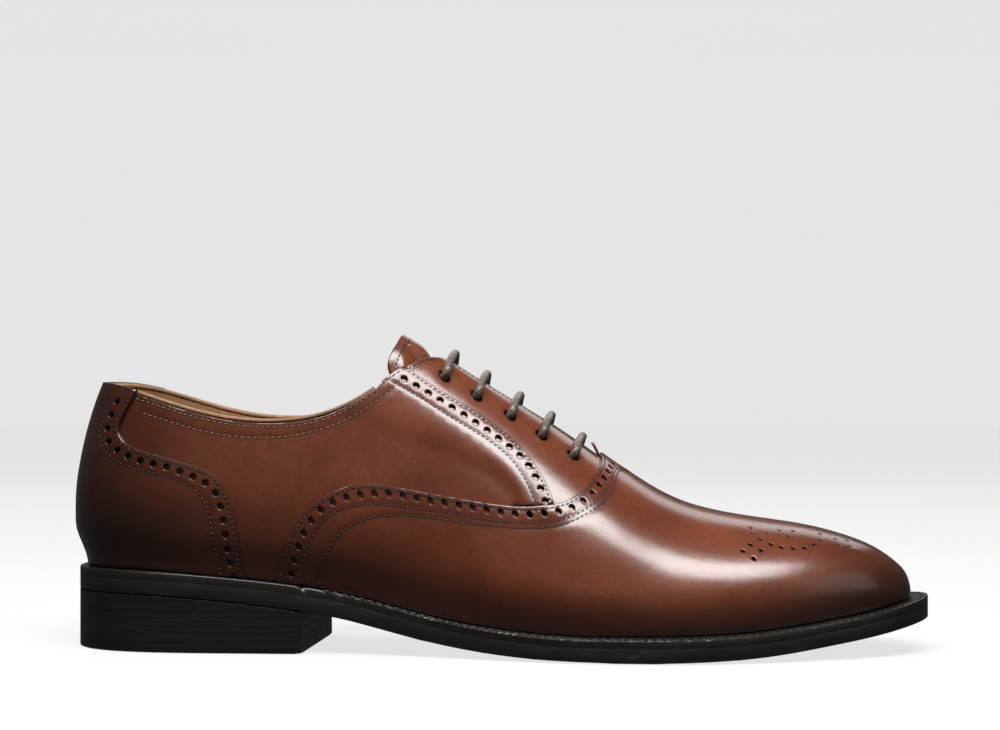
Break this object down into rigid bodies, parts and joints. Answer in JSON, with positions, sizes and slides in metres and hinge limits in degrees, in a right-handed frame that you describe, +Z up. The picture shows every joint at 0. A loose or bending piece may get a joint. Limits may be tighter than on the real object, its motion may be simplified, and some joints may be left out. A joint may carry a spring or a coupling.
{
  "type": "leather oxford shoe",
  "caption": "Closed-laced leather dress shoe for a right foot, with brogued seams, a hinged tongue, a welted sole and a stacked heel",
  "frame": {"origin": "bottom centre of the shoe's box, on the ground", "axes": "+X heel to toe, +Y medial (inner) side, +Z up"},
  "size_m": [0.3072, 0.1028, 0.1123],
  "materials": {
    "upper_leather": "polished chestnut calf, burnished darker towards the sole, heel and seams",
    "lining_leather": "undyed tan vegetable-tanned lining",
    "edge_leather": "folded tan topline edge",
    "stiffener_board": "unfinished fibre leather",
    "sole_leather": "black inked and waxed edge",
    "heel_rubber": "matt black rubber",
    "cork": "ground cork and binder",
    "shank_steel": "spring steel strip",
    "brass_fittings": "plain brass",
    "lace_cotton": "round waxed dark taupe lace",
    "aglet_plastic": "shrunk plastic tip"
  },
  "bodies": {
    "shoe": {"vamp": "upper_leather", "quarter_lateral": "upper_leather", "quarter_medial": "upper_leather", "facing_lateral": "upper_leather", "facing_medial": "upper_leather", "heel_counter": "upper_leather", "vamp_lining": "lining_leather", "quarter_lining_lateral": "lining_leather", "quarter_lining_medial": "lining_leather", "heel_grip": "lining_leather", "sock_liner": "lining_leather", "topline_binding": "edge_leather", "toe_puff": "stiffener_board", "counter_stiffener": "stiffener_board", "insole": "stiffener_board", "cork_filler": "cork", "shank": "shank_steel", "welt": "sole_leather", "heel_rand": "sole_leather", "outsole": "sole_leather", "heel_lift_upper": "sole_leather", "heel_lift_middle": "sole_leather", "heel_lift_lower": "sole_leather", "heel_top_piece": "heel_rubber", "eyelet_lateral_1": "brass_fittings", "eyelet_lateral_2": "brass_fittings", "eyelet_lateral_3": "brass_fittings", "eyelet_lateral_4": "brass_fittings", "eyelet_lateral_5": "brass_fittings", "eyelet_medial_1": "brass_fittings", "eyelet_medial_2": "brass_fittings", "eyelet_medial_3": "brass_fittings", "eyelet_medial_4": "brass_fittings", "eyelet_medial_5": "brass_fittings", "heel_nail_1": "brass_fittings", "heel_nail_2": "brass_fittings", "heel_nail_3": "brass_fittings", "heel_nail_4": "brass_fittings", "heel_nail_5": "brass_fittings", "heel_nail_6": "brass_fittings", "heel_nail_7": "brass_fittings", "lace": "lace_cotton", "lace_tail_lateral": "lace_cotton", "lace_tail_medial": "lace_cotton", "aglet_lateral": "aglet_plastic", "aglet_medial": "aglet_plastic"},
    "tongue": {"tongue": "upper_leather"}
  },
  "joints": [
    {"name": "tongue_hinge", "type": "hinge", "parent": "shoe", "child": "tongue", "pos_m": [0.04307, 0, 0.0585], "axis": [0, 1, 0], "range_deg": [-12, 0], "stiffness_Nm_per_rad": 0.05, "springref_deg": 17.19}
  ]
}
